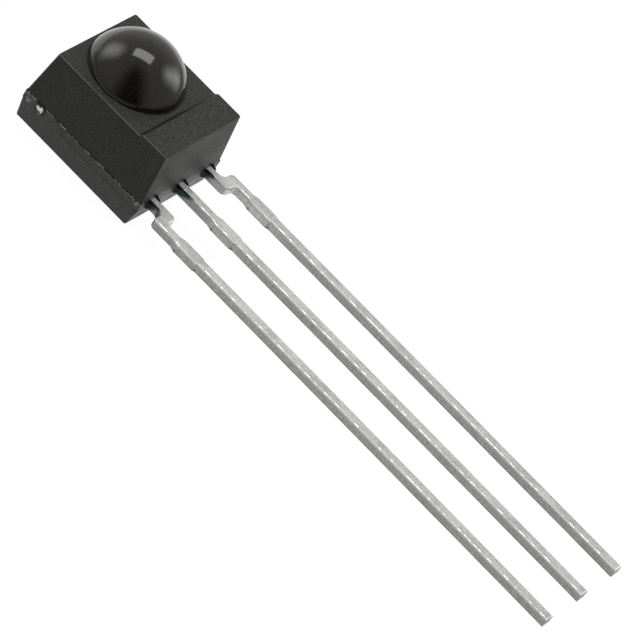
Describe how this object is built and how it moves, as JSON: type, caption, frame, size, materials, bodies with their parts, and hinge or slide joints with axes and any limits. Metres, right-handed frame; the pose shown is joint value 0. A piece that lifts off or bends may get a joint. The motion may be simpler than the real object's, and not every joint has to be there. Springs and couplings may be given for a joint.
{
  "type": "infrared receiver module",
  "caption": "Small moulded infrared receiver with a domed lens on its front and straight flat leads for a circuit board.",
  "frame": {"origin": "middle of the package's flat back face, on which the part lies", "axes": "+Z out of the back face and through the lens, -Y along the leads to their tips, +X across the package, towards the supply lead"},
  "size_m": [0.0058, 0.0309, 0.0057],
  "materials": {
    "moulded_epoxy": "dark infrared-passing moulding epoxy, fine matt faces and a polished lens",
    "tinned_lead": "satin tin plating on a stamped lead frame",
    "bond_film": "silver-filled adhesive film",
    "silicon": "polished silicon chip",
    "gold_wire": "drawn gold wire"
  },
  "bodies": {
    "root": {"package_body": "moulded_epoxy", "lead_ground": "tinned_lead", "lead_output": "tinned_lead", "lead_supply": "tinned_lead", "photodiode_bond_film": "bond_film", "receiver_chip_bond_film": "bond_film", "photodiode_die": "silicon", "receiver_chip_die": "silicon", "wire_photodiode_to_chip": "gold_wire", "wire_chip_to_output": "gold_wire", "wire_chip_to_supply": "gold_wire", "wire_chip_to_ground": "gold_wire"}
  },
  "joints": []
}
